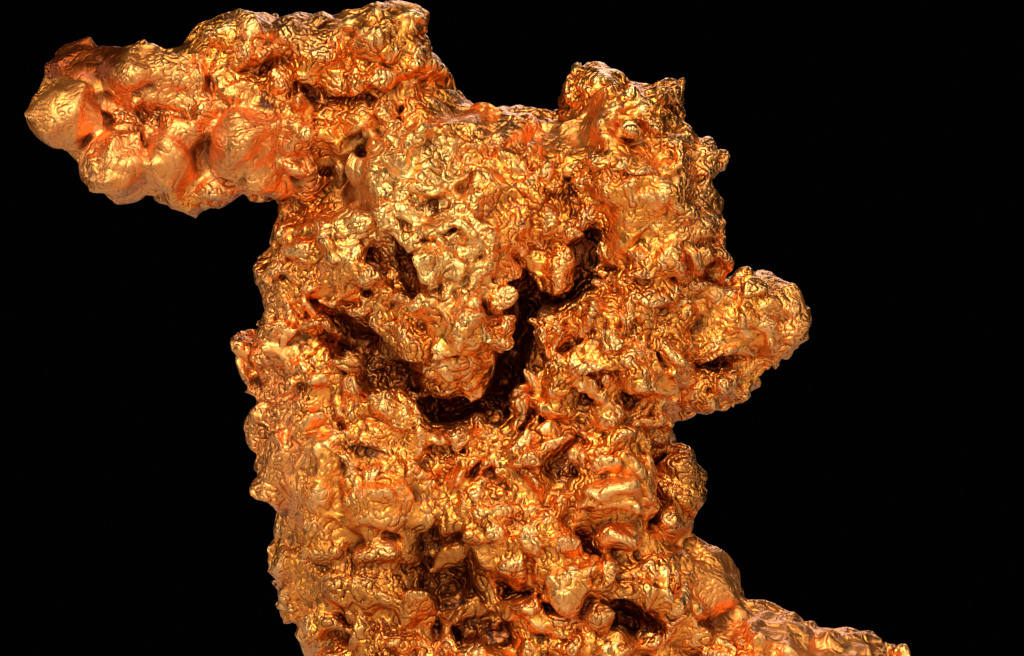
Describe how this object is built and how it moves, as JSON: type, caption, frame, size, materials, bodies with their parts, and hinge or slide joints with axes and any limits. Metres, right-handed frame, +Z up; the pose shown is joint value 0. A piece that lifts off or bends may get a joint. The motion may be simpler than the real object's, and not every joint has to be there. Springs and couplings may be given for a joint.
{
  "type": "gold nugget",
  "caption": "Large natural gold nugget: an upright lumpy mass with a broad arm at the upper left, a short arm at the right and a sloping foot, resting on a flat patch.",
  "frame": {"origin": "middle of the outline seen from above, on the plane the nugget rests on", "axes": "+Z up; +X along the longest side, from the long arm towards the foot; -Y out of the featured face"},
  "size_m": [0.254, 0.0888, 0.221],
  "materials": {
    "gold": "raw native gold with a molten, lumpy and partly water-polished skin, orange-yellow on the crests and red-brown in the creases"
  },
  "bodies": {
    "root": {"nugget": "gold"}
  },
  "joints": []
}
